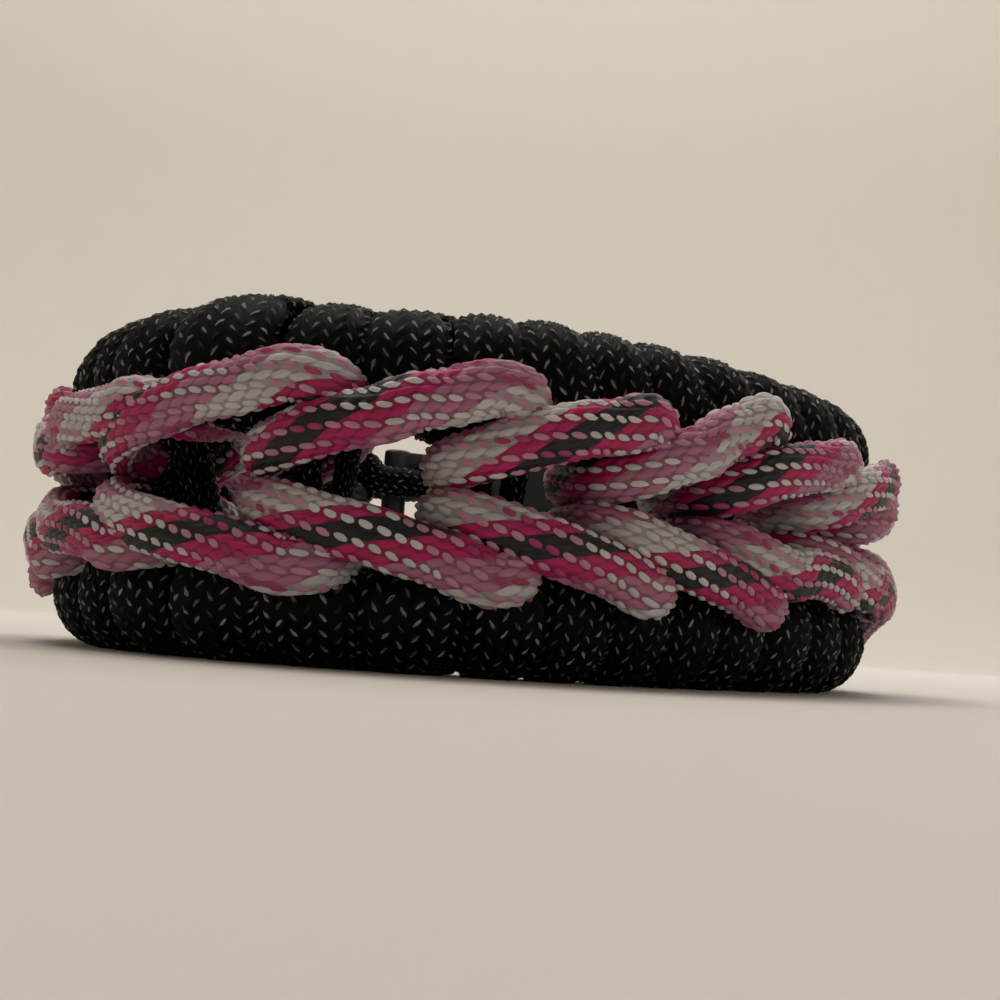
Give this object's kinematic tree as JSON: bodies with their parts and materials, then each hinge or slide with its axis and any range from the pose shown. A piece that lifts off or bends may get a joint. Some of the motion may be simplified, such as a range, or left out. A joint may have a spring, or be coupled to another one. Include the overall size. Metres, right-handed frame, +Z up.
{
  "type": "paracord bracelet",
  "caption": "Closed paracord bracelet: black cord wrapped into edge rolls, a row of V-shaped variegated links down the middle, and a curved side-release buckle.",
  "frame": {"origin": "the middle of the bottom of the whole bracelet's box, on the surface that it lies on", "axes": "+Z up, along the wrist opening; +Y from the front of the woven band to the buckle; +X to the right as seen from the front"},
  "size_m": [0.079, 0.0742, 0.0254],
  "materials": {
    "black_cord": "matt braided sheath",
    "variegated_cord": "matt braided sheath",
    "buckle_plastic": "satin moulded"
  },
  "bodies": {
    "root": {"core_loop_upper": "black_cord", "core_loop_lower": "black_cord", "wrap_strand_a": "black_cord", "wrap_strand_b": "black_cord", "link_strand_upper": "variegated_cord", "link_strand_lower": "variegated_cord", "buckle_socket": "buckle_plastic", "buckle_plug": "buckle_plastic"}
  },
  "joints": []
}
